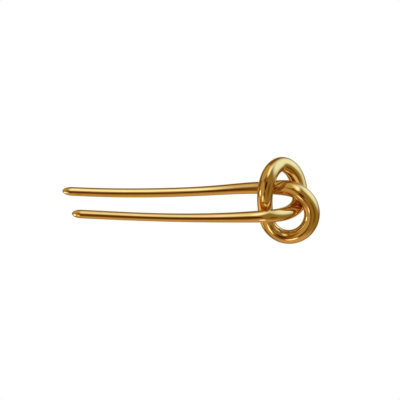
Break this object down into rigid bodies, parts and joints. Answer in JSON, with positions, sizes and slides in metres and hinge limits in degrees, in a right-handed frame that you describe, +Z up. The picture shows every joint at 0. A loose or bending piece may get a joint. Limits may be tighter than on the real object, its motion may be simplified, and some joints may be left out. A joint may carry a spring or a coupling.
{
  "type": "u-shaped hair pin",
  "caption": "Slim two-pronged hair pin: a tapering polished gold-tone bar tied in an open overhand knot at the head, with springy prongs that grip gathered hair.",
  "frame": {"origin": "on the table, under the middle of the pin's outline, with the pin lying on its back", "axes": "+X from the prong tips to the knot, +Y across the prongs towards the longer one, +Z up out of the pin's front"},
  "size_m": [0.0898, 0.0303, 0.0143],
  "materials": {
    "polished_gold": "mirror polished, gold tone",
    "dowel_brass": "drawn, unpolished"
  },
  "bodies": {
    "knot": {"right_loop": "polished_gold", "top_loop": "polished_gold", "upper_prong_dowel": "dowel_brass", "loop_dowel": "dowel_brass", "lower_prong_dowel": "dowel_brass"},
    "upper_prong": {"upper_prong": "polished_gold"},
    "lower_prong": {"lower_prong": "polished_gold"}
  },
  "joints": [
    {"name": "upper_prong_flex", "type": "hinge", "parent": "knot", "child": "upper_prong", "pos_m": [0.02594, 0.00433, 0.005], "axis": [0, 0, -1], "range_deg": [-1.5, 2.5], "stiffness_Nm_per_rad": 12},
    {"name": "lower_prong_flex", "type": "hinge", "parent": "knot", "child": "lower_prong", "pos_m": [0.03794, 0.00246, 0.00243], "axis": [0, 0, 1], "range_deg": [-1.5, 2.5], "stiffness_Nm_per_rad": 12}
  ]
}
